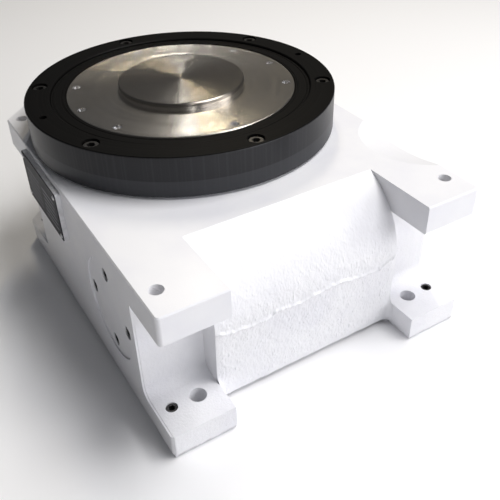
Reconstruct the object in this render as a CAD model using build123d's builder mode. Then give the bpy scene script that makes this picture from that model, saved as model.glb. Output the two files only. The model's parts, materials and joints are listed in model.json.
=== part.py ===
"""Cam-driven rotary index table: a barrel cam turns a turret of twelve cam followers.

Millimetres. +Z is up. The origin is the centre of the output flange's mounting face.
Heights in the names below are measured up from the base and placed by level().
X runs along the camshaft, towards its input end. -Y is the camshaft side of the body.
"""
from build123d import *
from math import cos, radians, sin, sqrt
import os

os.makedirs("parts", exist_ok=True)

# ---- fits ----
running = 0.05          # radial clearance of a shaft that turns in a bore
screw_gap = 0.5         # radial clearance of a screw in a through hole
seat_gap = 0.05         # radial clearance of a fixed spigot, plug or screw thread
free_gap = 0.4          # clearance between faces that move past each other

# ---- body casting ----
body_half_width = 177.5
body_front = -298.0
body_back = 148.0
body_height = 175.0
back_corner = 28.0
ear_width = 67.5
ear_thickness = 32.0
foot_height = 30.0
foot_relief = 5.0       # how far the pads stand below the rest of the base
pad_front_length = 134.0
pad_back_length = 104.5
front_pocket_depth = 61.0
back_pocket_depth = 96.0
back_pocket_width = 59.5
pocket_root = 12.0
pocket_corner = 8.0
shoulder_wall = 15.5    # wall outside the cam chamber at the front
wall_draft = 4.0
back_wall_step = 8.0
base_web = 11.0
casting_round = 4.0
ear_under_break = 1.6
edge_break = 1.2

# ---- feet and ears ----
foot_hole_r = 8.75
foot_hole_x = 133.5
levelling_x = 161.5
levelling_r = 6.0
levelling_sink = 1.0    # the levelling screws stand this far below the feet's tops
hole_from_front = 33.0
hole_from_back = 36.0
ear_thread_r = 7.0
ear_hole_x = 161.5

# ---- shallow dish in the top, over the input shaft ----
dish_r = 250.0
dish_rim = 70.0
dish_out = 30.0
dish_forward = 7.0

# ---- camshaft line ----
cam_axis_y = -173.0
cam_axis_height = 93.0
cam_r = 72.0
cam_half_length = 58.0
cam_chamber_gap = 2.5
cam_chamber_half = 90.0
cam_bore_r = 20.0
key_width = 12.0
key_height = 8.0
bearing_bore_r = 15.0
bearing_r = 31.0
bearing_width = 16.0
bearing_inner_x = 118.0
race_thickness = 5.0
ball_r = 4.7
balls_per_bearing = 9
shoulder_r = 26.0
cap_r = 53.0
cap_thickness = 12.0
cap_recess = 1.5
cap_screw_circle = 41.5
cap_screw_count = 4
cap_tap_depth = 16.0
cap_head_sink = 0.8     # how far the end cap screws' heads lie below the cap's face
cap_head_gap = 0.6
input_r = 14.0
input_length = 50.0
input_keyway_width = 8.0
input_keyway_depth = 4.0
input_keyway_length = 36.0
input_keyway_angle = 140.0  # at rest, from +Y towards +Z
shaft_seal_r = 24.0
shaft_seal_width = 8.0

# ---- bearing ring and its seals ----
pad_r = 170.0
pad_height = 3.0
ring_r = 175.0
ring_height = 44.0
ring_screw_circle = 162.0
ring_screw_count = 6
ring_tap_depth = 24.0
ring_dowel_r = 4.0
ring_dowel_depth = 20.0
ring_dowel_sink = 8.0   # how far the dowels end below the ring's top
ring_lip_r = 147.2
ring_step = 12.5        # depth of the seal cover's seat below the ring's top
seal_cover_thickness = 10.0
seal_r = 129.0

# ---- crossed-roller main bearing ----
main_bearing_outer_r = 128.0
main_bearing_bore_r = 104.0
main_bearing_height = 24.0
main_roller_r = 4.5
main_roller_count = 60
race_split = 1.2
clamp_height = 2.0

# ---- output flange ----
flange_r = 130.0
flange_thickness = 9.5
flange_neck_r = 120.0
flange_rise = 2.0       # the mounting face lies this far below the ring's top
boss_r = 71.75
boss_height = 9.0
output_circle = 120.0
output_hole_r = 5.1
output_hole_depth = 8.0

# ---- turret and cam followers ----
follower_count = 12
turret_flange_r = 114.0
turret_flange_thickness = 18.0
turret_r = 94.0
turret_bore_r = 60.0
turret_web = 12.0
turret_below_axis = 23.0
chamber_gap = 2.5
stud_r = 8.0
collar_inset = 1.5      # how far the collars and end washers stay inside the rollers' rims
collar_width = 2.8
pin_r = 9.0
roller_r = 14.0
roller_width = 16.0
roller_play = 0.2       # side play of a roller on its pin
washer_width = 0.9
nut_r = 12.0             # to the nut's corners
nut_height = 9.0
groove_gap = 0.6        # clearance on each side of a roller in the cam's groove

# ---- fasteners and fittings: shank radius, head radius, head height, socket across flats ----
m5 = (2.5, 4.25, 5.0, 4.0)
m8 = (4.0, 6.5, 8.0, 6.0)
m10 = (5.0, 8.0, 10.0, 8.0)
ring_screw_length = 42.0
cap_screw_length = 16.0
turret_screw_length = 28.0
turret_screw_circle = 40.0
head_depth = 12.0       # counterbore depth over a ring screw
cover_thickness = 10.0
cover_margin = 12.0
cover_screw_length = 14.0
plug_r = 8.0
plug_head_r = 12.0
sight_r = 16.0
sight_bore_r = 12.0
sight_pane_r = 10.0
fitting_x = 60.0        # the fittings' distance from the middle of the back wall
back_wall_reach = 60.0  # depth of the fittings' bores, into the turret chamber

# ---- nameplate ----
plate_length = 115.0
plate_height = 57.5
plate_low = 111.0
plate_front = -68.0
backing_thickness = 5.0
plate_thickness = 0.8
backing_margin = 0.5
rivet_r = 1.6

# ---- derived levels ----
pad_top = body_height + pad_height
ring_top = pad_top + ring_height
face_height = ring_top - flange_rise
bearing_top = pad_top + main_bearing_height
seal_seat = ring_top - ring_step
clamp_top = bearing_top + clamp_height
chamber_r = turret_flange_r + chamber_gap
cam_chamber_r = cam_r + cam_chamber_gap
ear_inner = body_half_width - ear_width
ear_low = body_height - ear_thickness
filler_height = ear_low - 30
back_wall = body_back - back_pocket_depth
hole_front_y = body_front + hole_from_front
hole_back_y = body_back - hole_from_back
cap_seat_x = body_half_width - cap_recess - cap_thickness
cap_head_x = cap_seat_x + cap_thickness - m8[2] - cap_head_sink
bearing_outer_x = bearing_inner_x + bearing_width
collar_r = roller_r - collar_inset
roller_inner = turret_r + collar_width + roller_play
roller_outer = roller_inner + roller_width
washer_seat = roller_outer + roller_play / 2
pitch_angle = 360 / follower_count
axis_low = cam_axis_height - face_height
cover_half_x = cam_chamber_half + cover_margin
cover_front = cam_axis_y - cam_chamber_r - cover_margin / 2
cover_back = cam_axis_y + cam_chamber_r + cover_margin


def level(height):
    """The horizontal plane at a height above the base."""
    return Plane.XY.offset(height - face_height)


def across(x):
    """The plane across the camshaft at x: its own X is +Y, its own Y is +Z, on the cam axis."""
    return Plane(origin=(x, cam_axis_y, axis_low), x_dir=(0, 1, 0), z_dir=(1, 0, 0))


def follower_line(angle, reach=0.0):
    """The plane across a follower's axis, at an angle from -Y and a reach from the turret axis."""
    out = Vector(sin(radians(angle)), -cos(radians(angle)), 0)
    return Plane(origin=out * reach + Vector(0, 0, axis_low), x_dir=(0, 0, 1), z_dir=out)


def ring_solid(inner, outer, low, high):
    """A plain ring about the turret axis, between two heights."""
    with BuildPart() as ring:
        with BuildSketch(level(low)):
            Circle(outer)
            Circle(inner, mode=Mode.SUBTRACT)
        extrude(amount=high - low)
    return ring.part


def cap_screw(size, length):
    """A socket-head screw: the underside of its head at the origin, its shank down -Z."""
    shank, head, height, flats = size
    with BuildPart() as screw:
        with BuildSketch():
            Circle(head)
        extrude(amount=height)
        chamfer(screw.edges().filter_by(GeomType.CIRCLE).sort_by(Axis.Z)[-1], 0.08 * head)
        with BuildSketch(Plane.XY.offset(height)):
            RegularPolygon(flats / 2, 6, major_radius=False)
        extrude(amount=-height * 0.55, mode=Mode.SUBTRACT)
        with BuildSketch():
            Circle(shank)
        extrude(amount=-length)
        chamfer(screw.edges().filter_by(GeomType.CIRCLE).sort_by(Axis.Z)[0], 0.15 * shank)
    return screw.part


def group(solids, label):
    """Several separate solids as one named piece, written to its file."""
    piece = Compound(children=list(solids))
    piece.label = label
    export_step(piece, f"parts/{label}.step")


def mark(part, label):
    """Name a finished solid."""
    part.label = label
    return part


# ================= body casting =================

foot_places = [
    (side * foot_hole_x, y) for side in (-1, 1) for y in (hole_front_y, hole_back_y)
]
levelling_places = [
    (side * levelling_x, y) for side in (-1, 1) for y in (hole_front_y, hole_back_y)
]
ear_places = [
    (side * ear_hole_x, y) for side in (-1, 1) for y in (hole_front_y, hole_back_y)
]

# the space under each front ear, open to the front and to the side
with BuildPart() as front_pocket:
    with BuildSketch(level(foot_height)):
        with Locations((ear_inner, body_front - 1)):
            Rectangle(ear_width + 1, front_pocket_depth + 1, align=(Align.MIN, Align.MIN))
    extrude(amount=ear_low - foot_height)
    fillet(front_pocket.edges().group_by(Axis.Z)[0].sort_by(Axis.Y)[-1], pocket_root)

# the space under each back ear
with BuildPart() as back_pocket:
    with BuildSketch(level(foot_height)):
        with Locations((body_half_width - back_pocket_width, back_wall)):
            Rectangle(back_pocket_width + 1, back_pocket_depth + 1, align=(Align.MIN, Align.MIN))
    extrude(amount=ear_low - foot_height)
    pocket_inner = back_pocket.edges().filter_by(Axis.Z).group_by(Axis.X)[0]
    fillet(pocket_inner.sort_by(Axis.Y)[0], pocket_corner)
    fillet(back_pocket.edges().group_by(Axis.Z)[0].sort_by(Axis.Y)[0], 0.9 * pocket_corner)

# the space in front of the cam chamber's rounded wall, between the ears
wall_r = cam_chamber_r + shoulder_wall
wall_mid = cam_axis_y - wall_r
wall_over = body_height - cam_axis_height
wall_top = cam_axis_y - sqrt(max(wall_r**2 - wall_over**2, 1.0))
with BuildPart() as front_gap:
    with BuildSketch(across(-ear_inner)):
        with BuildLine():
            start = (wall_mid + wall_draft - cam_axis_y, -cam_axis_height - 1)
            side = (wall_mid - cam_axis_y, 0)
            top = (wall_top - cam_axis_y, wall_over)
            Line(start, side)
            RadiusArc(side, top, wall_r)
            beyond = body_front - 1 - cam_axis_y
            Polyline(
                top,
                (top[0], wall_over + 1),
                (beyond, wall_over + 1),
                (beyond, -cam_axis_height - 1),
                start,
            )
        make_face()
    extrude(amount=2 * ear_inner)

with BuildPart() as housing:
    # the block, standing clear of the base on its four pads
    with BuildSketch(level(foot_relief)) as outline:
        with Locations((0, body_front)):
            Rectangle(
                2 * body_half_width, body_back - body_front, align=(Align.CENTER, Align.MIN)
            )
        chamfer(outline.vertices().group_by(Axis.Y)[-1], back_corner)
        fillet(outline.vertices(), casting_round)
    extrude(amount=body_height - foot_relief)
    chamfer(housing.faces().sort_by(Axis.Z)[-1].edges(), edge_break)
    # pads
    with BuildSketch(level(0)):
        for place_x in (-body_half_width, ear_inner):
            with Locations((place_x + casting_round / 2, body_front + casting_round / 2)):
                Rectangle(
                    ear_width - casting_round / 2,
                    pad_front_length,
                    align=(Align.MIN, Align.MIN),
                )
            with Locations((place_x + casting_round / 2, body_back - pad_back_length)):
                Rectangle(
                    ear_width - casting_round / 2,
                    pad_back_length - back_corner,
                    align=(Align.MIN, Align.MIN),
                )
    extrude(amount=foot_relief + edge_break)
    # pockets, front wall and back wall
    add(front_pocket.part, mode=Mode.SUBTRACT)
    add(front_pocket.part.mirror(Plane.YZ), mode=Mode.SUBTRACT)
    add(back_pocket.part, mode=Mode.SUBTRACT)
    add(back_pocket.part.mirror(Plane.YZ), mode=Mode.SUBTRACT)
    add(front_gap.part, mode=Mode.SUBTRACT)
    with BuildSketch(level(0)):
        with Locations((0, body_back - back_wall_step)):
            Rectangle(2 * ear_inner, back_wall_step + 1, align=(Align.CENTER, Align.MIN))
    extrude(amount=body_height + 1, mode=Mode.SUBTRACT)
    # broken edges under the front ears
    under = ear_low - face_height
    ear_edges = housing.edges().filter_by_position(Axis.Z, under - 0.01, under + 0.01)
    front_edges = ear_edges.filter_by_position(Axis.Y, body_front - 0.01, body_front + 0.01)
    chamfer(front_edges.filter_by(Axis.X), ear_under_break)
    # round seat of the bearing ring, and the raised pad on it
    with BuildSketch(level(ear_low)):
        Circle(pad_r + 1)
    extrude(amount=ear_thickness)
    with BuildSketch(level(body_height)):
        Circle(pad_r)
    extrude(amount=pad_height)
    # shallow dish in the top over the input shaft
    dish_rise = sqrt(dish_r**2 - dish_rim**2)
    dish_low = body_height - face_height + dish_rise
    with Locations((body_half_width + dish_out, cam_axis_y - dish_forward, dish_low)):
        Sphere(dish_r, mode=Mode.SUBTRACT)
    # turret chamber
    with BuildSketch(level(foot_relief + base_web)):
        Circle(chamber_r)
    extrude(amount=body_height, mode=Mode.SUBTRACT)
    # cam chamber, open downwards to the bottom cover
    with BuildSketch(across(-cam_chamber_half)):
        Circle(cam_chamber_r)
        with Locations((0, 0)):
            Rectangle(
                2 * cam_chamber_r, cam_axis_height + 1, align=(Align.CENTER, Align.MAX)
            )
    extrude(amount=2 * cam_chamber_half, mode=Mode.SUBTRACT)
    # seat of the bottom cover
    with BuildSketch(level(0)):
        with Locations((0, cover_front)):
            Rectangle(
                2 * cover_half_x + 2 * seat_gap,
                cover_back - cover_front + seat_gap,
                align=(Align.CENTER, Align.MIN),
            )
    extrude(amount=foot_relief + cover_thickness, mode=Mode.SUBTRACT)
    # camshaft bores: shoulder, bearing, end cap
    for turn in (0, 1):
        for hole_r, start_x in (
            (shoulder_r, cam_chamber_half - 1),
            (bearing_r + seat_gap, bearing_inner_x),
            (cap_r + seat_gap, cap_seat_x),
        ):
            deep = body_half_width + 1 - start_x
            with BuildSketch(across(start_x if turn else -start_x)):
                Circle(hole_r)
            extrude(amount=deep if turn else -deep, mode=Mode.SUBTRACT)
        # tapped holes for the end cap screws
        tap_start = cap_seat_x - cap_tap_depth
        with BuildSketch(across(tap_start if turn else -tap_start)):
            with PolarLocations(cap_screw_circle, cap_screw_count):
                Circle(m8[0] + seat_gap)
        extrude(amount=(1 if turn else -1) * (cap_tap_depth + 1), mode=Mode.SUBTRACT)
    # tapped holes and dowel holes under the bearing ring
    with BuildSketch(level(pad_top)):
        with PolarLocations(ring_screw_circle, ring_screw_count, start_angle=30):
            Circle(m10[0] + seat_gap)
        with PolarLocations(ring_screw_circle, 2):
            Circle(ring_dowel_r)
    extrude(amount=-ring_tap_depth, mode=Mode.SUBTRACT)
    # foot bolts, levelling screws and lifting threads
    with BuildSketch(level(0)):
        with Locations(*foot_places):
            Circle(foot_hole_r)
        with Locations(*levelling_places):
            Circle(levelling_r + seat_gap)
    extrude(amount=foot_height + 1, mode=Mode.SUBTRACT)
    with BuildSketch(level(ear_low - 1)):
        with Locations(*ear_places):
            Circle(ear_thread_r)
    extrude(amount=ear_thickness + 2, mode=Mode.SUBTRACT)
    # filler and sight glass through the back wall, drain through the web behind the turret
    back_face = Plane(
        origin=(0, body_back - back_wall_step, -face_height), x_dir=(-1, 0, 0), z_dir=(0, 1, 0)
    )
    with BuildSketch(back_face):
        with Locations((-fitting_x, filler_height), (fitting_x, foot_height)):
            Circle(plug_r + seat_gap)
        with Locations((fitting_x, cam_axis_height)):
            Circle(sight_bore_r + seat_gap)
    extrude(amount=-back_wall_reach, mode=Mode.SUBTRACT)
    # tapped holes for the bottom cover's screws
    cover_mid_y = (cover_front + cover_back) / 2
    cover_screw_x = 2 * cover_half_x - cover_margin
    cover_screw_y = cover_back - cover_front - 2 * cover_margin
    with BuildSketch(level(foot_relief + cover_thickness)):
        with Locations((0, cover_mid_y)):
            with GridLocations(cover_screw_x, cover_screw_y, 2, 2):
                Circle(m5[0] + seat_gap)
    extrude(amount=cover_screw_length, mode=Mode.SUBTRACT)
housing.part.label = "housing"
export_step(housing.part, "parts/housing.step")

# bottom cover under the cam chamber
with BuildPart() as bottom_cover:
    with BuildSketch(level(foot_relief)):
        with Locations((0, cover_front + seat_gap)):
            Rectangle(
                2 * cover_half_x,
                cover_back - cover_front - seat_gap,
                align=(Align.CENTER, Align.MIN),
            )
    extrude(amount=cover_thickness)
    with Locations(Plane(origin=(0, cover_mid_y, foot_relief - face_height), z_dir=(0, 0, -1))):
        with GridLocations(cover_screw_x, cover_screw_y, 2, 2):
            CounterBoreHole(m5[0] + screw_gap, m5[1] + screw_gap, m5[2] + 0.5)
bottom_cover.part.label = "bottom_cover"
export_step(bottom_cover.part, "parts/bottom_cover.step")

cover_screw = cap_screw(m5, cover_screw_length)
cover_head_low = foot_relief + m5[2] + 0.5 - face_height
group(
    [
        mark(Pos(sx * cover_screw_x / 2, cover_mid_y + sy * cover_screw_y / 2, cover_head_low)
             * Rot(180, 0, 0) * cover_screw, "cover_screw")
        for sx in (-1, 1) for sy in (-1, 1)
    ],
    "bottom_cover_screws",
)

# levelling screws, just below the feet's tops and clear of the floor
with BuildPart() as levelling_screw:
    with BuildSketch(level(foot_relief)):
        Circle(levelling_r)
    extrude(amount=foot_height - foot_relief - levelling_sink)
    with BuildSketch(level(foot_height - levelling_sink)):
        RegularPolygon(levelling_r / 2, 6, major_radius=False)
    extrude(amount=-levelling_r, mode=Mode.SUBTRACT)
    chamfer(levelling_screw.edges().filter_by(GeomType.CIRCLE).group_by(Axis.Z)[-1], 0.8)
    chamfer(levelling_screw.edges().filter_by(GeomType.CIRCLE).group_by(Axis.Z)[0], 1.2)
group(
    [mark(Pos(x, y, 0) * levelling_screw.part, "levelling_screw") for x, y in levelling_places],
    "levelling_screws",
)

# ================= bearing ring =================

with BuildPart() as bearing_ring:
    with BuildSketch(Plane.XZ):
        with BuildLine():
            Polyline(
                (main_bearing_outer_r, pad_top - face_height),
                (ring_r, pad_top - face_height),
                (ring_r, ring_top - face_height),
                (ring_lip_r, ring_top - face_height),
                (ring_lip_r, seal_seat - face_height),
                (seal_r, seal_seat - face_height),
                (seal_r, clamp_top - face_height),
                (main_bearing_outer_r - 4, clamp_top - face_height),
                (main_bearing_outer_r - 4, bearing_top - face_height),
                (main_bearing_outer_r, bearing_top - face_height),
                close=True,
            )
        make_face()
    revolve(axis=Axis.Z)
    rims = bearing_ring.edges().filter_by(GeomType.CIRCLE).group_by(Axis.Z)[-1]
    chamfer(rims, edge_break)
    with Locations(level(ring_top)):
        with PolarLocations(ring_screw_circle, ring_screw_count, start_angle=30):
            CounterBoreHole(m10[0] + screw_gap, m10[1] + 1, head_depth)
        with PolarLocations(ring_screw_circle, 2):
            Hole(ring_dowel_r)
bearing_ring.part.label = "bearing_ring"
export_step(bearing_ring.part, "parts/bearing_ring.step")

ring_screw = cap_screw(m10, ring_screw_length)
group(
    [
        mark(Rot(0, 0, 30 + 60 * k)
             * Pos(ring_screw_circle, 0, ring_top - head_depth - face_height) * ring_screw,
             "ring_screw")
        for k in range(ring_screw_count)
    ],
    "ring_screws",
)

# dowels that place the ring on the body, below the ring's top
with BuildPart() as ring_dowels:
    with BuildSketch(level(pad_top - ring_dowel_depth)):
        with PolarLocations(ring_screw_circle, 2):
            Circle(ring_dowel_r - 0.01)
    extrude(amount=ring_dowel_depth + ring_height - ring_dowel_sink)
group([mark(s, "ring_dowel") for s in ring_dowels.solids()], "ring_dowels")

# seal cover: the black band beside the output flange
cover_inner = flange_r + free_gap
with BuildPart() as seal_cover:
    add(ring_solid(cover_inner, ring_lip_r - 0.1, seal_seat, seal_seat + seal_cover_thickness))
    cover_rims = seal_cover.edges().filter_by(GeomType.CIRCLE).group_by(Axis.Z)[-1]
    chamfer(cover_rims, 0.6)
seal_cover.part.label = "seal_cover"
export_step(seal_cover.part, "parts/seal_cover.step")

# lip seal on the flange's neck
with BuildPart() as output_seal:
    add(ring_solid(flange_neck_r + running, seal_r - 0.01, clamp_top, seal_seat))
output_seal.part.label = "output_seal"
export_step(output_seal.part, "parts/output_seal.step")

# ================= crossed-roller main bearing =================

roller_circle = (main_bearing_outer_r + main_bearing_bore_r) / 2
bearing_mid = pad_top + main_bearing_height / 2
square = 2 * (main_roller_r + running)
half_cut = Plane(origin=(roller_circle, 0, bearing_mid - face_height), x_dir=(1, 0, 0),
                 z_dir=(0, -1, 0))


def main_race(inner, outer):
    """One ring of the main bearing, with its half of the square roller track."""
    with BuildPart() as race:
        add(ring_solid(inner, outer, pad_top, bearing_top))
        with BuildSketch(half_cut):
            Rectangle(square, square, rotation=45)
        revolve(axis=Axis.Z, mode=Mode.SUBTRACT)
        rims = race.edges().filter_by(GeomType.CIRCLE)
        chamfer(rims.group_by(Axis.Z)[-1] + rims.group_by(Axis.Z)[0], 0.4)
    return race.part


with BuildPart() as main_bearing_outer:
    add(main_race(roller_circle + race_split / 2, main_bearing_outer_r - 0.01))
main_bearing_outer.part.label = "main_bearing_outer"
export_step(main_bearing_outer.part, "parts/main_bearing_outer.step")

with BuildPart() as main_bearing_inner:
    add(main_race(main_bearing_bore_r + 0.01, roller_circle - race_split / 2))
main_bearing_inner.part.label = "main_bearing_inner"
export_step(main_bearing_inner.part, "parts/main_bearing_inner.step")

with BuildPart() as main_roller:
    Cylinder(main_roller_r, 2 * main_roller_r - 0.2)
    chamfer(main_roller.edges().filter_by(GeomType.CIRCLE), 0.4)
group(
    [
        mark(Rot(0, 0, 360 / main_roller_count * k)
             * Pos(roller_circle, 0, bearing_mid - face_height)
             * Rot(0, 45 if k % 2 else -45, 0) * main_roller.part, "crossed_roller")
        for k in range(main_roller_count)
    ],
    "main_bearing_rollers",
)

# ================= output flange =================

with BuildPart() as output_flange:
    with BuildSketch(Plane.XZ):
        with BuildLine():
            Polyline(
                (0, pad_top - face_height),
                (main_bearing_bore_r, pad_top - face_height),
                (main_bearing_bore_r, bearing_top - face_height),
                (main_bearing_bore_r + 8, bearing_top - face_height),
                (main_bearing_bore_r + 8, clamp_top - face_height),
                (flange_neck_r, clamp_top - face_height),
                (flange_neck_r, -flange_thickness),
                (flange_r, -flange_thickness),
                (flange_r, 0),
                (boss_r, 0),
                (boss_r, boss_height),
                (0, boss_height),
                close=True,
            )
        make_face()
    revolve(axis=Axis.Z)
    flange_rims = output_flange.edges().filter_by(GeomType.CIRCLE)
    chamfer(flange_rims.group_by(Axis.Z)[-1], edge_break)
    outer_rim = flange_rims.filter_by(lambda e: abs(e.radius - flange_r) < 0.01)
    chamfer(outer_rim.sort_by(Axis.Z)[-1], 0.8)
    with BuildSketch(level(face_height)):
        with PolarLocations(output_circle, 6, start_angle=30):
            Circle(output_hole_r)
        with PolarLocations(output_circle, 2):
            Circle(output_hole_r)
    extrude(amount=-output_hole_depth, mode=Mode.SUBTRACT)
    with BuildSketch(level(pad_top)):
        with PolarLocations(turret_screw_circle, 6):
            Circle(m10[0] + seat_gap)
    extrude(amount=turret_screw_length - turret_web + 2, mode=Mode.SUBTRACT)
output_flange.part.label = "output_flange"
export_step(output_flange.part, "parts/output_flange.step")

# ================= turret with its cam followers =================

turret_low = cam_axis_height - turret_below_axis
with BuildPart() as turret:
    with BuildSketch(level(turret_low)):
        Circle(turret_r)
    extrude(amount=pad_top - turret_low)
    with BuildSketch(level(pad_top - turret_flange_thickness)):
        Circle(turret_flange_r)
    extrude(amount=turret_flange_thickness)
    with BuildSketch(level(turret_low)):
        Circle(turret_bore_r)
    extrude(amount=pad_top - turret_low - turret_web, mode=Mode.SUBTRACT)
    chamfer(turret.edges().filter_by(GeomType.CIRCLE).group_by(Axis.Z)[0], edge_break)
    for k in range(follower_count):
        with BuildSketch(follower_line(pitch_angle * k, turret_bore_r - 5)):
            Circle(stud_r + 0.01)
        extrude(amount=turret_r - turret_bore_r + 10, mode=Mode.SUBTRACT)
    with BuildSketch(level(pad_top - turret_web)):
        with PolarLocations(turret_screw_circle, 6):
            Circle(m10[0] + screw_gap)
    extrude(amount=turret_web, mode=Mode.SUBTRACT)
turret.part.label = "turret"
export_step(turret.part, "parts/turret.step")

turret_screw = cap_screw(m10, turret_screw_length)
group(
    [
        mark(Rot(0, 0, 60 * k)
             * Pos(turret_screw_circle, 0, pad_top - turret_web - face_height)
             * Rot(180, 0, 0) * turret_screw, "turret_screw")
        for k in range(6)
    ],
    "turret_screws",
)

# one follower stud: thread and shank in the turret, collar, pin and head, along +Z from the axis
stud_start = turret_bore_r - nut_height - 4
flat_reach = sqrt(turret_bore_r**2 - nut_r**2)
with BuildPart() as stud:
    for radius, start, stop in (
        (stud_r, stud_start, turret_r),
        (collar_r, turret_r, turret_r + collar_width),
        (pin_r, turret_r + collar_width, washer_seat),
        (stud_r, washer_seat, washer_seat + washer_width),
    ):
        with BuildSketch(Plane.XY.offset(start)):
            Circle(radius)
        extrude(amount=stop - start)
    # the collar is hollowed to sit on the turret's round side
    with BuildSketch(Plane.YZ.offset(-collar_r - 1)):
        Circle(turret_r)
        Circle(turret_r - 8, mode=Mode.SUBTRACT)
        with Locations((0, turret_r - 4)):
            Rectangle(2 * collar_r + 2, 12, mode=Mode.INTERSECT)
        Rectangle(2 * stud_r, 2 * turret_r + 2, mode=Mode.SUBTRACT)
    extrude(amount=2 * collar_r + 2, mode=Mode.SUBTRACT)

with BuildPart() as stud_nut:
    with BuildSketch(Plane.XY.offset(flat_reach - nut_height)):
        RegularPolygon(nut_r, 6)
        Circle(stud_r + 0.02, mode=Mode.SUBTRACT)
    extrude(amount=nut_height)

with BuildPart() as stud_washer:
    with BuildSketch(Plane.XY.offset(washer_seat)):
        Circle(collar_r)
        Circle(stud_r + 0.01, mode=Mode.SUBTRACT)
    extrude(amount=washer_width)

with BuildPart() as roller:
    with BuildSketch(Plane.XY.offset(roller_inner)):
        Circle(roller_r)
        Circle(pin_r + running, mode=Mode.SUBTRACT)
    extrude(amount=roller_width - roller_play)
    chamfer(roller.edges().filter_by(GeomType.CIRCLE).filter_by(
        lambda e: abs(e.radius - roller_r) < 0.01), 0.6)

places = [follower_line(pitch_angle * k).location for k in range(follower_count)]
group([mark(place * stud.part, "stud") for place in places], "follower_studs")
group([mark(place * stud_nut.part, "nut") for place in places], "follower_nuts")
group([mark(place * stud_washer.part, "end_washer") for place in places], "follower_washers")
for k, place in enumerate(places):
    placed = place * roller.part
    placed.label = f"follower_roller_{k + 1}"
    export_step(placed, f"parts/{placed.label}.step")

# ================= cam and camshaft =================

groove_half = roller_r + groove_gap
groove_low = -cam_axis_y - cam_r - 6
groove_high = roller_outer + 2.5
groove_sections = []
for step in range(-16, 17):
    swing = 2.0 * step * pitch_angle / 30
    out = Vector(sin(radians(swing)), -cos(radians(swing)), 0)
    beside = Vector(cos(radians(swing)), sin(radians(swing)), 0)
    mid = out * ((groove_low + groove_high) / 2) + Vector(0, 0, axis_low)
    with BuildSketch(Plane(origin=mid, x_dir=beside, z_dir=beside.cross(out))) as section:
        Rectangle(2 * groove_half, groove_high - groove_low)
    camline = Axis((0, cam_axis_y, axis_low), (1, 0, 0))
    groove_sections.append(section.sketch.face().rotate(camline, follower_count * swing))

with BuildPart() as cam:
    with BuildSketch(across(-cam_half_length)):
        Circle(cam_r)
    extrude(amount=2 * cam_half_length)
    chamfer(cam.edges().filter_by(GeomType.CIRCLE), 1.5)
    loft(groove_sections, mode=Mode.SUBTRACT)
    with BuildSketch(across(-cam_half_length - 1)):
        Circle(cam_bore_r + 0.01)
        with Locations((0, cam_bore_r)):
            Rectangle(key_width + 0.02, key_height)
    extrude(amount=2 * cam_half_length + 2, mode=Mode.SUBTRACT)
cam.part.label = "cam"
export_step(cam.part, "parts/cam.step")

shaft_end = body_half_width + input_length
journal_r = cam_bore_r - 1
with BuildPart() as camshaft:
    for radius, start, stop in (
        (bearing_bore_r, -bearing_outer_x - 4, body_half_width),
        (journal_r, -bearing_inner_x, bearing_inner_x),
        (cam_bore_r, -cam_half_length, cam_half_length),
        (input_r, 0, shaft_end),
    ):
        with BuildSketch(across(start)):
            Circle(radius)
        extrude(amount=stop - start)
    chamfer(camshaft.edges().filter_by(GeomType.CIRCLE).sort_by(Axis.X)[-1], 1.0)
    chamfer(camshaft.edges().filter_by(GeomType.CIRCLE).sort_by(Axis.X)[0], 1.0)
    with BuildSketch(across(-cam_half_length + 8)):
        with Locations((0, cam_bore_r)):
            Rectangle(key_width + 0.02, key_height + 0.02)
    extrude(amount=2 * cam_half_length - 16, mode=Mode.SUBTRACT)
    with BuildSketch(across(shaft_end - 6 - input_keyway_length)):
        with PolarLocations(input_r, 1, start_angle=input_keyway_angle):
            Rectangle(2 * input_keyway_depth, input_keyway_width)
    extrude(amount=input_keyway_length, mode=Mode.SUBTRACT)
camshaft.part.label = "camshaft"
export_step(camshaft.part, "parts/camshaft.step")

with BuildPart() as cam_key:
    with BuildSketch(across(-cam_half_length + 8)):
        with Locations((0, cam_bore_r)):
            Rectangle(key_width, key_height)
    extrude(amount=2 * cam_half_length - 16)
cam_key.part.label = "cam_key"
export_step(cam_key.part, "parts/cam_key.step")

# ball bearings of the camshaft
ball_circle = (bearing_r + bearing_bore_r) / 2
ball_x = bearing_inner_x + bearing_width / 2


def ball_race(inner, outer, x):
    """One ring of a camshaft bearing, with its ball track, centred at x."""
    with BuildPart() as race:
        with BuildSketch(across(x - bearing_width / 2)):
            Circle(outer)
            Circle(inner, mode=Mode.SUBTRACT)
        extrude(amount=bearing_width)
        track = Plane(origin=(x, cam_axis_y, axis_low), x_dir=(1, 0, 0), z_dir=(0, -1, 0))
        with BuildSketch(track):
            with Locations((0, ball_circle)):
                Circle(ball_r + running)
        revolve(axis=Axis((0, cam_axis_y, axis_low), (1, 0, 0)), mode=Mode.SUBTRACT)
    return race.part


group(
    [
        mark(ball_race(bearing_r - race_thickness, bearing_r, s * ball_x), "outer_race")
        for s in (-1, 1)
    ],
    "camshaft_bearing_outers",
)
group(
    [
        mark(ball_race(bearing_bore_r + 0.01, bearing_bore_r + race_thickness, s * ball_x),
             "inner_race")
        for s in (-1, 1)
    ],
    "camshaft_bearing_inners",
)
with BuildPart() as ball:
    Sphere(ball_r)
ball_places = [
    across(s * ball_x).location * Rot(0, 0, 360 / balls_per_bearing * k) * Pos(ball_circle, 0, 0)
    for s in (-1, 1)
    for k in range(balls_per_bearing)
]
group([mark(place * ball.part, "ball") for place in ball_places], "camshaft_bearing_balls")

# ================= end caps =================


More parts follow.
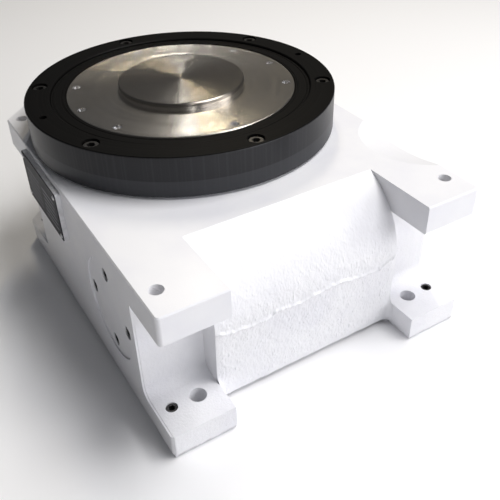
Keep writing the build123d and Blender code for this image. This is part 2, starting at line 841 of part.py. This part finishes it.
def end_cap(side, bore_r):
    """A round cap with a hollow spigot that holds the bearing; side is -1 or 1 along X."""
    with BuildPart() as cap:
        with BuildSketch(across(side * cap_seat_x)):
            Circle(cap_r)
        extrude(amount=side * cap_thickness)
        chamfer(cap.edges().filter_by(GeomType.CIRCLE).sort_by(Axis.X)[-1 if side > 0 else 0], 1.0)
        with BuildSketch(across(side * bearing_outer_x)):
            Circle(bearing_r)
            Circle(bearing_r - race_thickness, mode=Mode.SUBTRACT)
        extrude(amount=side * (cap_seat_x - bearing_outer_x))
        if bore_r:
            with BuildSketch(across(side * (cap_seat_x - 1))):
                Circle(bore_r)
            extrude(amount=side * (cap_thickness + 2), mode=Mode.SUBTRACT)
            with BuildSketch(across(side * cap_seat_x)):
                Circle(shaft_seal_r)
            extrude(amount=side * shaft_seal_width, mode=Mode.SUBTRACT)
        with BuildSketch(across(side * (cap_seat_x - 1))):
            with PolarLocations(cap_screw_circle, cap_screw_count):
                Circle(m8[0] + screw_gap)
        extrude(amount=side * (cap_thickness + 2), mode=Mode.SUBTRACT)
        with BuildSketch(across(side * cap_head_x)):
            with PolarLocations(cap_screw_circle, cap_screw_count):
                Circle(m8[1] + cap_head_gap)
        extrude(amount=side * (m8[2] + 2), mode=Mode.SUBTRACT)
    return cap.part


with BuildPart() as end_cap_left:
    add(end_cap(-1, 0))
end_cap_left.part.label = "end_cap_left"
export_step(end_cap_left.part, "parts/end_cap_left.step")

with BuildPart() as end_cap_right:
    add(end_cap(1, bearing_bore_r + 1.0))
end_cap_right.part.label = "end_cap_right"
export_step(end_cap_right.part, "parts/end_cap_right.step")

with BuildPart() as shaft_seal:
    with BuildSketch(across(cap_seat_x)):
        Circle(shaft_seal_r - 0.01)
        Circle(bearing_bore_r + running, mode=Mode.SUBTRACT)
    extrude(amount=shaft_seal_width)
shaft_seal.part.label = "shaft_seal"
export_step(shaft_seal.part, "parts/shaft_seal.step")

cap_screw_solid = cap_screw(m8, cap_screw_length)
for side, name in ((-1, "end_cap_left_screws"), (1, "end_cap_right_screws")):
    turn = Rot(180, 0, 0) if side < 0 else Rot(0, 0, 0)
    group(
        [
            mark(across(side * cap_head_x).location * Rot(0, 0, 360 / cap_screw_count * k)
                 * Pos(cap_screw_circle, 0, 0) * turn * cap_screw_solid, "cap_screw")
            for k in range(cap_screw_count)
        ],
        name,
    )

# ================= nameplate =================

plate_mid = (-body_half_width, plate_front + plate_length / 2,
             plate_low + plate_height / 2 - face_height)
left_face = Plane(origin=plate_mid, x_dir=(0, -1, 0), z_dir=(-1, 0, 0))
rivet_grid = (plate_length - 10, plate_height - 10)
with BuildPart() as nameplate_backing:
    with BuildSketch(left_face):
        RectangleRounded(plate_length + 2 * backing_margin, plate_height + 2 * backing_margin, 2)
        with GridLocations(*rivet_grid, 2, 2):
            Circle(rivet_r, mode=Mode.SUBTRACT)
    extrude(amount=backing_thickness)
nameplate_backing.part.label = "nameplate_backing"
export_step(nameplate_backing.part, "parts/nameplate_backing.step")

with BuildPart() as nameplate:
    with BuildSketch(left_face.offset(backing_thickness)):
        RectangleRounded(plate_length, plate_height, 2)
        with GridLocations(*rivet_grid, 2, 2):
            Circle(rivet_r, mode=Mode.SUBTRACT)
    extrude(amount=plate_thickness)
nameplate.part.label = "nameplate"
export_step(nameplate.part, "parts/nameplate.step")

with BuildPart() as nameplate_rivets:
    with BuildSketch(left_face):
        with GridLocations(*rivet_grid, 2, 2):
            Circle(rivet_r - 0.01)
    extrude(amount=backing_thickness + plate_thickness)
    with BuildSketch(left_face.offset(backing_thickness + plate_thickness)):
        with GridLocations(*rivet_grid, 2, 2):
            Circle(1.7 * rivet_r)
    extrude(amount=0.8, taper=35)
group([mark(s, "rivet") for s in nameplate_rivets.solids()], "nameplate_rivets")

# ================= oil fittings on the back wall =================


def oil_plug(name, x, height):
    """A hexagon-head plug screwed into the back wall."""
    with BuildPart() as plug:
        with BuildSketch(back_face):
            with Locations((x, height)):
                Circle(plug_r)
        extrude(amount=-14)
        with BuildSketch(back_face):
            with Locations((x, height)):
                Circle(plug_head_r)
        extrude(amount=2)
        with BuildSketch(back_face.offset(2)):
            with Locations((x, height)):
                RegularPolygon(plug_head_r * 0.78, 6, major_radius=False)
        extrude(amount=5)
    plug.part.label = name
    export_step(plug.part, f"parts/{name}.step")


oil_plug("oil_filler_plug", -fitting_x, filler_height)
oil_plug("oil_drain_plug", fitting_x, foot_height)

with BuildPart() as sight_bezel:
    with BuildSketch(back_face):
        with Locations((fitting_x, cam_axis_height)):
            RegularPolygon(sight_r, 6, major_radius=False)
            Circle(sight_pane_r, mode=Mode.SUBTRACT)
    extrude(amount=5)
    with BuildSketch(back_face):
        with Locations((fitting_x, cam_axis_height)):
            Circle(sight_bore_r)
            Circle(sight_pane_r, mode=Mode.SUBTRACT)
    extrude(amount=-12)
sight_bezel.part.label = "sight_bezel"
export_step(sight_bezel.part, "parts/sight_bezel.step")

with BuildPart() as sight_glass:
    with BuildSketch(back_face.offset(-3)):
        with Locations((fitting_x, cam_axis_height)):
            Circle(sight_pane_r - 0.02)
    extrude(amount=6)
sight_glass.part.label = "sight_glass"
export_step(sight_glass.part, "parts/sight_glass.step")
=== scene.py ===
import json
import math
import bpy
import numpy as np
from mathutils import Matrix, Vector


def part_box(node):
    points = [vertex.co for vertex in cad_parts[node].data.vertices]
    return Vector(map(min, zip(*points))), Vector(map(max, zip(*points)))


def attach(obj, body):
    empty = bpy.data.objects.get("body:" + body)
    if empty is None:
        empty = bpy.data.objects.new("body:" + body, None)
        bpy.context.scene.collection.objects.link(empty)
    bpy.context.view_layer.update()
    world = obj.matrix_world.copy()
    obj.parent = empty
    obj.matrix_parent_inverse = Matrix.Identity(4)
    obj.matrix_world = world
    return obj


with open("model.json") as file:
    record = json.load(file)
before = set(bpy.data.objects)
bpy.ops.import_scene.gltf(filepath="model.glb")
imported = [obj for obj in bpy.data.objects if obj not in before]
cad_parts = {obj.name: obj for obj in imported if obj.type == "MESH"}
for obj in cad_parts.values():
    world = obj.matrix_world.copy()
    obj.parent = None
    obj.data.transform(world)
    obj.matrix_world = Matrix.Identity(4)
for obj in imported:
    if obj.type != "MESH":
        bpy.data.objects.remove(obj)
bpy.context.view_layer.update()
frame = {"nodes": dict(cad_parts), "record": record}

nodes = frame["nodes"]
print("frame loaded:", len(nodes), "nodes")


# one output socket, with the arithmetic that the materials use
class Sock:
    def __init__(self, mat, socket):
        self.mat = mat
        self.socket = socket

    def maths(self, operation, *values, clamp=False):
        return self.mat.node("ShaderNodeMath", {"operation": operation, "use_clamp": clamp},
                             {i: v for i, v in enumerate(values)})

    def __add__(self, other):
        return self.maths("ADD", self, other)

    __radd__ = __add__

    def __sub__(self, other):
        return self.maths("SUBTRACT", self, other)

    def __rsub__(self, other):
        return self.maths("SUBTRACT", other, self)

    def __mul__(self, other):
        return self.maths("MULTIPLY", self, other)

    __rmul__ = __mul__

    def __truediv__(self, other):
        return self.maths("DIVIDE", self, other)

    def __pow__(self, other):
        return self.maths("POWER", self, other)

    # 0 below the level, 1 past level + soft, smooth between
    def above(self, level, soft):
        return self.mat.node("ShaderNodeMapRange", {"interpolation_type": "SMOOTHSTEP"},
                             {0: self, 1: level, 2: level + soft})

    def below(self, level, soft):
        return 1 - self.above(level - soft, soft)

    def size(self):
        return self.maths("ABSOLUTE", self)

    def clamped(self):
        return self.maths("ADD", self, 0.0, clamp=True)


# a material around one Principled shader
class Material:
    def __init__(self, name):
        self.made = bpy.data.materials.new(name)
        self.made.use_nodes = True
        self.tree = self.made.node_tree
        self.shader = self.tree.nodes["Principled BSDF"]
        self.place = self.node("ShaderNodeTexCoord", {}, {}, out="Object")
        split = self.node("ShaderNodeSeparateXYZ", {}, {0: self.place}, out=None)
        self.x, self.y, self.z = [Sock(self, split.outputs[i]) for i in range(3)]

    # a node of any type: its settings first, then its sockets; out names the one returned
    def node(self, kind, settings, inputs, out=0):
        made = self.tree.nodes.new(kind)
        for key, value in settings.items():
            setattr(made, key, value)
        for key, value in inputs.items():
            if isinstance(value, Sock):
                self.tree.links.new(value.socket, made.inputs[key])
            else:
                made.inputs[key].default_value = value
        return made if out is None else Sock(self, made.outputs[out])

    def noise(self, scale, detail=3.0, rough=0.5, vector=None):
        return self.node("ShaderNodeTexNoise", {},
                         {"Vector": vector or self.place, "Scale": scale, "Detail": detail,
                          "Roughness": rough})

    # 1 inside small round spots that are scattered evenly, 0 outside
    def spots(self, scale, size, vector=None):
        cell = self.node("ShaderNodeTexVoronoi", {"feature": "F1"},
                         {"Vector": vector or self.place, "Scale": scale}, out="Distance")
        return cell.below(size, size * 0.5)

    # a colour between two, each a socket or three numbers
    def mix(self, factor, first, second):
        def full(value):
            return value if isinstance(value, Sock) else (*value, 1)
        return self.node("ShaderNodeMix", {"data_type": "RGBA"},
                         {"Factor": factor, 6: full(first), 7: full(second)}, out=2)

    # relief: height from 0 to 1 is worth distance, in metres
    def bump(self, height, distance, strength=1.0, normal=None):
        inputs = {"Height": height, "Distance": distance, "Strength": strength}
        if normal is not None:
            inputs["Normal"] = normal
        return self.node("ShaderNodeBump", {}, inputs)

    # sets or links the shader's own sockets; spaces in their names are written _
    def finish(self, **sockets):
        for key, value in sockets.items():
            target = self.shader.inputs[key.replace("_", " ")]
            if isinstance(value, Sock):
                self.tree.links.new(value.socket, target)
            elif isinstance(value, tuple) and len(value) == 3:
                target.default_value = (*value, 1)
            else:
                target.default_value = value
        return self.made


# distance from an axis, from the two coordinates across it
def radiusAbout(mat, cx, cy, first, second):
    across = first - cx
    along = second - cy
    return (across * across + along * along) ** 0.5


paint = {"white": (0.86, 0.86, 0.885), "shade": (0.73, 0.73, 0.80),
         "roughness": 0.36, "castRelief": 0.0009, "peelRelief": 0.00006}


def whitePaint():
    mat = Material("white enamel")
    # cast skin below the machined top, smooth enamel on the machined faces
    cast = mat.z.below(-0.080, 0.035) * mat.x.size().below(0.176, 0.001)
    grains = mat.noise(420.0, 4.0, 0.62)
    lumps = mat.noise(95.0, 3.0, 0.55)
    peel = mat.noise(900.0, 2.0, 0.5)
    blots = mat.noise(14.0, 3.0, 0.55)
    chips = mat.spots(190.0, 0.075) * mat.noise(25.0, 2.0, 0.5).above(0.46, 0.04)
    pits = mat.spots(260.0, 0.11) * cast
    body = mat.mix((blots.above(0.40, 0.3) * 0.35).clamped(), paint["white"], paint["shade"])
    body = mat.mix(pits * 0.3, body, (0.95, 0.95, 0.96))
    wornAndShaded = mat.mix(chips * (1 - cast) * 0.6, body, (0.97, 0.97, 0.98))
    # painted shade: a darker band along the base where the housing meets the floor, broken up by the
    # lumps noise
    baseShade = (mat.z.below(-0.2135, 0.006) * lumps.above(0.45, 0.2) * 0.4).clamped()
    wornAndShaded = mat.mix(baseShade, wornAndShaded, (0.45, 0.44, 0.43))
    rough = (paint["roughness"] + cast * 0.16 + blots * 0.08).clamped()
    height = grains * 0.45 + lumps * 0.55 + pits * 0.25
    relief = mat.bump(height * cast, paint["castRelief"])
    relief = mat.bump(peel + chips * 0.5, paint["peelRelief"], normal=relief)
    return mat.finish(Base_Color=wornAndShaded, Roughness=rough, Normal=relief, Coat_Weight=0.15,
                      Coat_Roughness=0.25)


# The surface's normal, rocked along the radius ring by ring as the fine turned grooves do.
# The rocking is a noise of the radius alone, so every ring keeps its own tilt and a light is
# drawn out into a streak that runs across the grooves.
def turnedNormal(mat, amount, pitch, lines):
    radial = mat.node("ShaderNodeVectorMath", {"operation": "MULTIPLY"},
                      {0: mat.place, 1: (1.0, 1.0, 0.0)})
    radial = mat.node("ShaderNodeVectorMath", {"operation": "NORMALIZE"}, {0: radial})
    radial = mat.node("ShaderNodeVectorTransform",
                      {"vector_type": "VECTOR", "convert_from": "OBJECT", "convert_to": "WORLD"},
                      {0: radial})
    tilt = mat.node("ShaderNodeTexNoise", {"noise_dimensions": "1D"},
                    {"W": lines * (1 / pitch), "Scale": 1.0, "Detail": 2.0})
    lean = mat.node("ShaderNodeVectorMath", {"operation": "SCALE"},
                    {0: radial, "Scale": (tilt - 0.5) * amount})
    face = mat.node("ShaderNodeNewGeometry", {}, {}, out="Normal")
    both = mat.node("ShaderNodeVectorMath", {"operation": "ADD"}, {0: face, 1: lean})
    return mat.node("ShaderNodeVectorMath", {"operation": "NORMALIZE"}, {0: both})


steel = {"colour": (0.60, 0.57, 0.53), "warm": (0.52, 0.485, 0.43), "roughness": 0.20,
         "rock": 1.5, "pitch": 0.00035}


def turnedSteel():
    mat = Material("face-turned steel")
    radius = radiusAbout(mat, 0.0, 0.0, mat.x, mat.y)
    bands = mat.node("ShaderNodeTexNoise", {"noise_dimensions": "1D"},
                     {"W": radius, "Scale": 160.0, "Detail": 3.0})
    smear = mat.noise(11.0, 4.0, 0.6)
    stain = mat.noise(38.0, 3.0, 0.6)
    rings = mat.node("ShaderNodeTexNoise", {"noise_dimensions": "1D"},
                     {"W": radius, "Scale": 1500.0, "Detail": 2.0})
    tone = mat.mix((smear.above(0.38, 0.3) * 0.7).clamped(), steel["colour"], steel["warm"])
    tone = mat.mix((rings - 0.35).clamped() * 0.5, tone, (0.52, 0.50, 0.47))
    tone = mat.mix(stain.above(0.60, 0.12) * 0.12, tone, (0.24, 0.21, 0.18))
    rough = (steel["roughness"] + bands * 0.02 + smear * 0.03).clamped()
    boss = mat.z.above(0.0045, 0.0005)
    tone = mat.mix(boss * 0.62, tone, (0.17, 0.155, 0.14))
    return mat.finish(Base_Color=tone, Roughness=rough, Metallic=1.0,
                      Normal=turnedNormal(mat, steel["rock"], steel["pitch"], radius))


# the top's colour is the ring's own black; the side's lighter grey is painted reflection of the floor
blackenedAndSheen = {"top": (0.004, 0.0038, 0.0036), "side": (0.040, 0.0405, 0.043)}


def blackSteel():
    mat = Material("blackened steel")
    radius = radiusAbout(mat, 0.0, 0.0, mat.x, mat.y)
    side = radius.above(0.1742, 0.0004)
    low = mat.z.below(-0.024, 0.0012) * side
    # upright streaks round the side, painted lighter as streaks of sheen; rings on the top
    turn = mat.node("ShaderNodeMath", {"operation": "ARCTAN2"}, {0: mat.y, 1: mat.x})
    uprightStreaks = mat.node("ShaderNodeTexNoise", {"noise_dimensions": "1D"},
                     {"W": turn, "Scale": 46.0, "Detail": 4.0})
    rings = mat.node("ShaderNodeTexNoise", {"noise_dimensions": "1D"},
                     {"W": radius, "Scale": 900.0, "Detail": 2.0})
    courses = mat.node("ShaderNodeTexNoise", {"noise_dimensions": "1D"},
                       {"W": mat.z, "Scale": 900.0, "Detail": 3.0})
    cloud = mat.noise(30.0, 4.0, 0.6)
    # painted reflection: the side is coloured lighter than the top
    tone = mat.mix(side, blackenedAndSheen["top"], blackenedAndSheen["side"])
    # painted sheen: lighter upright streaks on the side
    tone = mat.mix((side * uprightStreaks.above(0.48, 0.2) * 0.3).clamped(), tone, (0.060, 0.060, 0.064))
    # painted reflection: a lighter, bluish band low on the side, facing the white housing below
    tone = mat.mix(low * 0.45, tone, (0.075, 0.077, 0.083))
    tone = mat.mix(((1 - side) * (rings - 0.45) * 0.8).clamped(), tone, (0.022, 0.021, 0.020))
    rough = (0.26 + cloud * 0.12 + (1 - side) * 0.08 + uprightStreaks * side * 0.04).clamped()
    relief = mat.bump(rings * (1 - side) + courses * side, 0.00003)
    return mat.finish(Base_Color=tone, Roughness=rough, Metallic=(side * 0.65).clamped(), Normal=relief,
                      Specular_IOR_Level=0.04)


# ground or plated metal: fine scratches and a cloudy roughness
def plainSteel(name, colour, grain, roughness, metallic=1.0, relief=0.00003):
    mat = Material(name)
    cloud = mat.noise(60.0, 3.0, 0.6)
    fine = mat.noise(grain, 3.0, 0.6)
    dark = tuple(0.62 * c for c in colour)
    tone = mat.mix((cloud.above(0.42, 0.25) * 0.6).clamped(), colour, dark)
    rough = (roughness + cloud * 0.16 + (fine - 0.5) * 0.12).clamped()
    return mat.finish(Base_Color=tone, Roughness=rough, Metallic=metallic,
                      Normal=mat.bump(fine, relief))


def castIron():
    mat = Material("machined cast iron")
    grain = mat.noise(500.0, 4.0, 0.6)
    cloud = mat.noise(30.0, 3.0, 0.5)
    tone = mat.mix(cloud.above(0.4, 0.3), (0.17, 0.165, 0.16), (0.27, 0.26, 0.25))
    return mat.finish(Base_Color=tone, Roughness=(0.45 + grain * 0.2).clamped(), Metallic=0.8,
                      Normal=mat.bump(grain, 0.00008))


def sealRubber():
    mat = Material("seal rubber")
    grain = mat.noise(700.0, 3.0, 0.6)
    tone = mat.mix(grain, (0.012, 0.012, 0.012), (0.035, 0.034, 0.033))
    return mat.finish(Base_Color=tone, Roughness=(0.55 + grain * 0.2).clamped(),
                      Normal=mat.bump(grain, 0.00005))


label = {"ink": (0.004, 0.005, 0.012), "line": (0.50, 0.52, 0.58), "rows": 9, "margin": 0.10}


# a black plate with two blocks of plain ruled lines, like the boxes of a form
def plateBlack():
    mat = Material("black nameplate")
    low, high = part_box("nameplate")
    span, tall = high.y - low.y, high.z - low.z
    across = (mat.y - low.y) / span
    up = (mat.z - low.z) / tall
    row = (up * label["rows"]).maths("FRACT", up * label["rows"])
    ruled = row.above(0.40, 0.05) * row.below(0.62, 0.05)
    firstBlock = across.above(0.08, 0.01) * across.below(0.44, 0.01)
    nextBlock = across.above(0.52, 0.01) * across.below(0.90, 0.01)
    inside = up.above(label["margin"], 0.02) * up.below(0.78, 0.02)
    lines = ruled * inside * (firstBlock + nextBlock * 0.6)
    frameEdge = 1 - across.above(0.02, 0.005) * across.below(0.98, 0.005) * up.above(0.04, 0.01) * \
        up.below(0.96, 0.01)
    cloud = mat.noise(70.0, 3.0, 0.6)
    tone = mat.mix((lines * 0.7).clamped(), label["ink"], label["line"])
    tone = mat.mix(cloud.above(0.6, 0.1) * 0.12, tone, (0.16, 0.16, 0.18))
    tone = mat.mix(frameEdge * 0.5, tone, (0.02, 0.02, 0.03))
    return mat.finish(Base_Color=tone, Roughness=(0.38 + cloud * 0.15).clamped(),
                      Normal=mat.bump(lines + cloud * 0.2, 0.00004), Specular_IOR_Level=0.08)


def sightWindow():
    mat = Material("sight glass over oil")
    level = mat.z.below(-0.126, 0.002)
    cloud = mat.noise(90.0, 2.0, 0.5)
    tone = mat.mix(level, (0.75, 0.76, 0.72), (0.62, 0.42, 0.12))
    return mat.finish(Base_Color=tone, Roughness=(0.05 + cloud * 0.08).clamped(), IOR=1.5,
                      Coat_Weight=1.0, Coat_Roughness=0.03)


finishes = {
    "white_paint": whitePaint(),
    "black_steel": blackSteel(),
    "turned_steel": turnedSteel(),
    "ground_steel": plainSteel("ground steel", (0.60, 0.60, 0.61), 900.0, 0.16),
    "black_screw": plainSteel("black oxide screws", (0.085, 0.083, 0.082), 1200.0, 0.26, 0.9),
    "zinc_screw": plainSteel("zinc plate", (0.62, 0.62, 0.65), 700.0, 0.26),
    "cast_core": castIron(),
    "seal_rubber": sealRubber(),
    "plate_black": plateBlack(),
    "plate_backing": plainSteel("white backing", (0.84, 0.84, 0.86), 500.0, 0.34, 0.0),
    "brass_plug": plainSteel("brass", (0.66, 0.47, 0.20), 800.0, 0.24),
    "sight_window": sightWindow(),
}
slotOf = {entry["node"]: entry["material_slot"] for entry in frame["record"]["subparts"]}
for name, obj in nodes.items():
    obj.data.materials.clear()
    obj.data.materials.append(finishes[slotOf[name]])
print("finishes on", len(nodes), "nodes")


# a mesh from a grid of points, shape (rows, columns, 3); closedAcross joins last to first
def sheetFrom(name, points, material, closedAcross=False):
    rows, columns = points.shape[:2]
    index = np.arange(rows * columns).reshape(rows, columns)
    right = np.roll(index, -1, axis=1) if closedAcross else index[:, 1:]
    left = index if closedAcross else index[:, :-1]
    quads = np.stack([left[:-1], right[:-1], right[1:], left[1:]], axis=-1).reshape(-1, 4)
    mesh = bpy.data.meshes.new(name)
    mesh.from_pydata(points.reshape(-1, 3).tolist(), [], quads.tolist())
    mesh.polygons.foreach_set("use_smooth", [True] * len(mesh.polygons))
    mesh.materials.append(material)
    mesh.update()
    made = bpy.data.objects.new(name, mesh)
    bpy.context.scene.collection.objects.link(made)
    return made


# value noise: random numbers on a lattice, joined by smooth steps along both parameters
def smoothNoise(u, v, cells, seed):
    rand = np.random.default_rng(seed)
    table = rand.random((cells[0] + 2, cells[1] + 2))
    x, y = u * cells[0], v * cells[1]
    i, j = np.floor(x).astype(int), np.floor(y).astype(int)
    fx, fy = x - i, y - j
    fx, fy = fx * fx * (3 - 2 * fx), fy * fy * (3 - 2 * fy)
    low = table[i, j] * (1 - fx) + table[i + 1, j] * fx
    high = table[i, j + 1] * (1 - fx) + table[i + 1, j + 1] * fx
    return low * (1 - fy) + high * fy


housingLow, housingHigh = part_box("housing")
camLow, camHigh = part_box("cam")
camY, camZ = (camLow.y + camHigh.y) / 2, (camLow.z + camHigh.z) / 2
floorZ = housingLow.z

castWall = {"halfWidth": 0.1098, "radius": 0.090, "sweep": 64, "draft": 0.004, "foot": 0.0052,
            "ridgeHigh": 0.0017, "ridgeWide": 0.0016, "grain": 0.00042, "lump": 0.00055,
            "proud": 0.00025, "corner": 0.010, "sideFade": 0.006,
            "wander": 0.010, "waver": 0.0022, "lip": 0.0006, "columns": 420, "rows": 200, "seed": 7}


# Rough cast skin of the wall over the cam chamber.
# The profile rises from the base on a drafted straight line to the height of the cam's axis,
# then follows an arc about that axis. Each point is pushed outwards along the profile's normal
# by layers of noise, and by a narrow ridge that wanders along the parting line. Near the base,
# towards each foot, the wall turns forwards along a quarter circle.
def castWallSkin():
    v = castWall
    u = np.linspace(0, 1, v["columns"])[None, :]
    s = np.linspace(0, 1, v["rows"])[:, None]
    u, s = np.broadcast_arrays(u, s)
    straight = camZ - (floorZ + v["foot"])
    sweep = math.radians(v["sweep"])
    length = straight + v["radius"] * sweep
    run = s * length
    onLine = run < straight
    angle = np.clip((run - straight) / v["radius"], 0, sweep)
    y = np.where(onLine, camY - v["radius"] + v["draft"] * (1 - run / straight),
                 camY - v["radius"] * np.cos(angle))
    z = np.where(onLine, floorZ + v["foot"] + run, camZ + v["radius"] * np.sin(angle))
    outY = np.where(onLine, -1.0, -np.cos(angle))
    outZ = np.where(onLine, 0.0, np.sin(angle))
    x = (u * 2 - 1) * v["halfWidth"]
    seed = v["seed"]
    wander = (smoothNoise(u, 0 * s, (9, 1), seed) - 0.5) * v["wander"]
    wander = wander + (smoothNoise(u, 0 * s, (46, 1), seed + 1) - 0.5) * v["waver"]
    parting = straight - 0.001 + wander
    thick = v["ridgeHigh"] * (0.35 + smoothNoise(u, 0 * s, (60, 1), seed + 2))
    ridge = thick * np.exp(-((run - parting) / v["ridgeWide"]) ** 2)
    # the lower mould half stands slightly proud, with an uneven edge
    lip = v["lip"] / (1 + np.exp((run - parting) / 0.0009))
    lumps = (smoothNoise(u, s, (34, 24), seed + 3) - 0.35) * v["lump"]
    grain = (smoothNoise(u, s, (150, 96), seed + 4) - 0.4) * v["grain"]
    peaks = smoothNoise(u, s, (95, 62), seed + 5)
    blobs = np.clip(peaks - 0.80, 0, 1) * 0.006
    fade = (1 - np.clip((run - straight) / (v["radius"] * sweep), 0, 1)) ** 1.6
    sides = np.clip((v["halfWidth"] - np.abs(x)) / v["sideFade"], 0, 1)
    push = v["proud"] * fade + fade * sides * (lumps + grain + blobs * 0.6 + lip) + ridge * sides
    edge = np.clip((np.abs(x) - (v["halfWidth"] - v["corner"])) / v["corner"], 0, 1)
    fillet = v["corner"] * (1 - np.sqrt(np.clip(1 - edge**2, 0, 1)))
    nearFoot = 1 / (1 + np.exp((z - (floorZ + 0.030)) / 0.0035))
    y = y + outY * push - fillet * nearFoot * 0.9
    z = z + outZ * push
    skin = sheetFrom("cast_wall_skin", np.stack([x, y, z], axis=-1), finishes["white_paint"])
    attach(skin, "body")


castWallSkin()
print("cast skin made")

thread = {"depth": 0.00042, "steps": 28, "perTurn": 6, "gap": 0.00003, "lead": 0.0006}


# Threads standing inside tapped holes.
# Each is a tube whose radius falls from the hole's wall to the crest and back once per pitch,
# the wave moving on by one pitch per turn, so that it is a helix.
def threadInside(name, places, radius, length, pitch, slot, body):
    theta = np.linspace(0, 2 * np.pi, thread["steps"], endpoint=False)[None, :]
    depthRows = int(length / pitch * thread["perTurn"])
    down = np.linspace(0, length, depthRows)[:, None]
    phase = down / pitch - theta / (2 * np.pi)
    wave = np.abs(2 * (phase - np.floor(phase + 0.5)))
    r = radius - thread["gap"] - thread["depth"] * (1 - wave)
    r = np.where(down < thread["lead"], radius - thread["gap"], r)
    for number, (px, py, top) in enumerate(places):
        grid = np.stack([px + r * np.cos(theta), py + r * np.sin(theta),
                         np.broadcast_to(top - thread["lead"] - down, r.shape)], axis=-1)
        made = sheetFrom(f"{name}_{number + 1}", grid, finishes[slot], closedAcross=True)
        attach(made, body)


mounts = {mount["name"]: mount for mount in frame["record"]["mounts"]}
boltCircle = mounts["output_pair_x"]["dims"]["spacing_x_mm"] / 2000
holeR = mounts["output_bolts"]["dims"]["hole_r_mm"] / 1000
angles = [math.radians(a) for a in (0, 30, 90, 150, 180, 210, 270, 330)]
threadInside("output_thread", [(boltCircle * math.cos(a), boltCircle * math.sin(a), 0.0)
                               for a in angles], holeR, 0.0070, 0.0015, "ground_steel", "output")
lifting = mounts["lifting_threads"]
halfX, halfY = (lifting["dims"][key] / 2000 for key in ("spacing_x_mm", "spacing_y_mm"))
midY, earTop = lifting["pos_m"][1], lifting["pos_m"][2]
threadInside("ear_thread", [(i * halfX, midY + j * halfY, earTop) for i in (-1, 1) for j in (-1, 1)],
             lifting["dims"]["hole_r_mm"] / 1000, 0.030, 0.002, "white_paint", "body")
print("threads made")

bead = {"steps": 160, "sectionSteps": 9, "sink": 0.0001}


# a ring with a half-round section, standing on a flat face
def lipRing(name, radius, top, rise, wide, slot, body):
    theta = np.linspace(0, 2 * np.pi, bead["steps"], endpoint=False)[None, :]
    section = np.linspace(0, np.pi, bead["sectionSteps"])[:, None]
    r = radius + wide / 2 * np.cos(section) + 0 * theta
    z = top + rise * np.sin(section) + 0 * theta
    grid = np.stack([r * np.cos(theta), r * np.sin(theta), z], axis=-1)
    made = sheetFrom(name, grid, finishes[slot], closedAcross=True)
    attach(made, body)


coverLow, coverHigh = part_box("seal_cover")
lipRing("cover_bead_inner", 0.1335, coverHigh.z - bead["sink"], 0.0006, 0.0016, "black_steel", "body")
lipRing("cover_bead_outer", 0.1440, coverHigh.z - bead["sink"], 0.0005, 0.0012, "black_steel", "body")


stage = {"floorHalf": 9.0, "floorColour": (0.93, 0.93, 0.94), "world": 0.07,
         "floorGap": 0.0002}
grid = np.linspace(-stage["floorHalf"], stage["floorHalf"], 3)
gx, gy = np.meshgrid(grid, grid)
floorMat = Material("pale floor")
floorShade = floorMat.mix(floorMat.noise(3.0, 2.0, 0.5) * 0.1, stage["floorColour"],
                          (0.90, 0.90, 0.92))
floorMat.finish(Base_Color=floorShade, Roughness=0.6)
floor = sheetFrom("floor", np.stack([gx, gy, np.full_like(gx, floorZ - stage["floorGap"])], axis=-1),
                  floorMat.made)

world = bpy.data.worlds.new("studio")
world.use_nodes = True
world.node_tree.nodes["Background"].inputs[0].default_value = (0.95, 0.96, 1.0, 1)
world.node_tree.nodes["Background"].inputs[1].default_value = stage["world"]
bpy.context.scene.world = world
bpy.context.scene.view_settings.view_transform = "Standard"

lamps = {
    # name: direction it comes from, distance, width, height, power in watts, colour
    "topSoft": ((0.42, -0.20, 1.0), 2.4, 1.3, 1.3, 48, (1.0, 0.99, 0.98)),
    "rightSoft": ((1.0, -0.75, 0.42), 2.4, 1.1, 0.9, 17, (1.0, 0.99, 1.0)),
    "frontSoft": ((0.42, -1.0, 0.50), 2.4, 1.0, 0.8, 10, (0.96, 0.96, 1.0)),
    "coldStreak": ((0.264, 0.571, 0.778), 2.5, 0.030, 0.80, 6, (1.0, 1.0, 1.0)),
    "warmStreak": ((0.353, 0.549, 0.758), 2.5, 0.034, 0.80, 8, (1.0, 0.86, 0.60)),
    "sideStreak": ((-0.17, -0.97, 0.22), 2.2, 0.05, 0.80, 4.5, (0.95, 0.97, 1.0)),
}
aim = Vector((0, -0.05, -0.05))
for name, (out, far, wide, high, power, colour) in lamps.items():
    data = bpy.data.lights.new(name, "AREA")
    data.shape = "RECTANGLE"
    data.size, data.size_y = wide, high
    data.energy = power
    data.color = colour
    lamp = bpy.data.objects.new(name, data)
    direction = Vector(out).normalized()
    lamp.location = aim + direction * far
    lamp.rotation_euler = direction.to_track_quat("Z", "Y").to_euler()
    bpy.context.scene.collection.objects.link(lamp)

cameraFacts = {"place": (-0.3114, -0.6720, 0.3144), "heading": 31.876, "pitch": -35.94,
               "roll": -0.73, "lens": 48.84, "shift": (-0.025, -0.025)}
cameraData = bpy.data.cameras.new("camera")
cameraData.lens = cameraFacts["lens"]
cameraData.sensor_width = 36
cameraData.shift_x, cameraData.shift_y = cameraFacts["shift"]
camera = bpy.data.objects.new("camera", cameraData)
heading, pitch = math.radians(cameraFacts["heading"]), math.radians(cameraFacts["pitch"])
ahead = Vector((math.sin(heading) * math.cos(pitch), math.cos(heading) * math.cos(pitch),
                math.sin(pitch)))
turned = ahead.to_track_quat("-Z", "Y").to_matrix().to_4x4()
camera.matrix_world = Matrix.Translation(cameraFacts["place"]) @ turned @ \
    Matrix.Rotation(math.radians(cameraFacts["roll"]), 4, "Z")
bpy.context.scene.collection.objects.link(camera)
bpy.context.scene.camera = camera
print("stage, lamps and camera ready")
